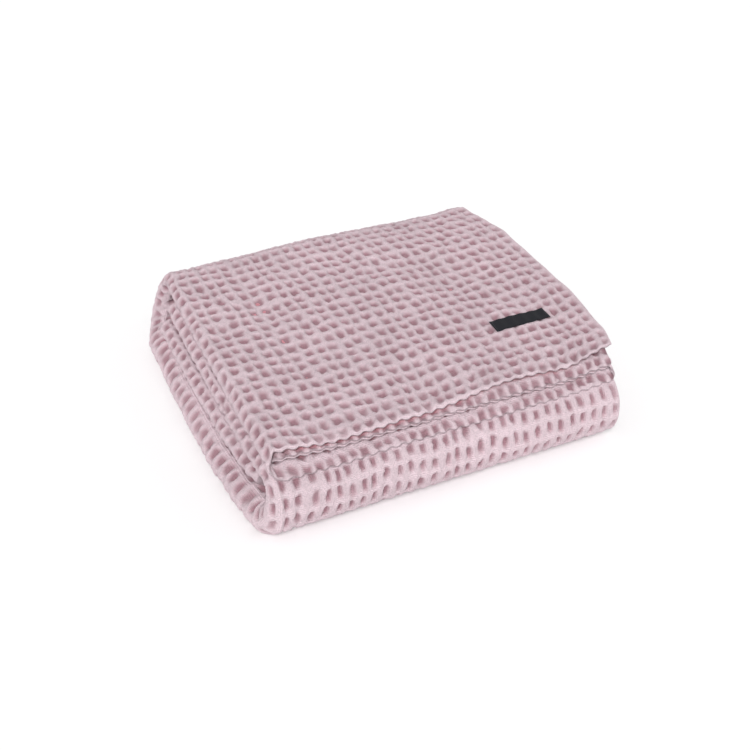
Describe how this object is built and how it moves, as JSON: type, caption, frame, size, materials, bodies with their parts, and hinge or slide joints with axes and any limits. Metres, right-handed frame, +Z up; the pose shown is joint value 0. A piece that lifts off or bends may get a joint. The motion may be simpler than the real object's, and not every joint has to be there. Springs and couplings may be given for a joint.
{
  "type": "folded waffle bedspread",
  "caption": "Folded cotton bedspread in deep waffle weave, lying as a soft flat stack with a small plain woven label on the top face.",
  "frame": {"origin": "centre of the bounding box at its base, on the surface the stack lies on", "axes": "+X along the long front side to the right, +Y from the loose front edges towards the round back wrap, +Z up through the stack"},
  "size_m": [0.4094, 0.3703, 0.0957],
  "materials": {
    "cotton": "matt pale dusty pink waffle woven cotton",
    "label_cloth": "matt charcoal woven tape"
  },
  "bodies": {
    "root": {"bedspread": "cotton", "label": "label_cloth"}
  },
  "joints": []
}
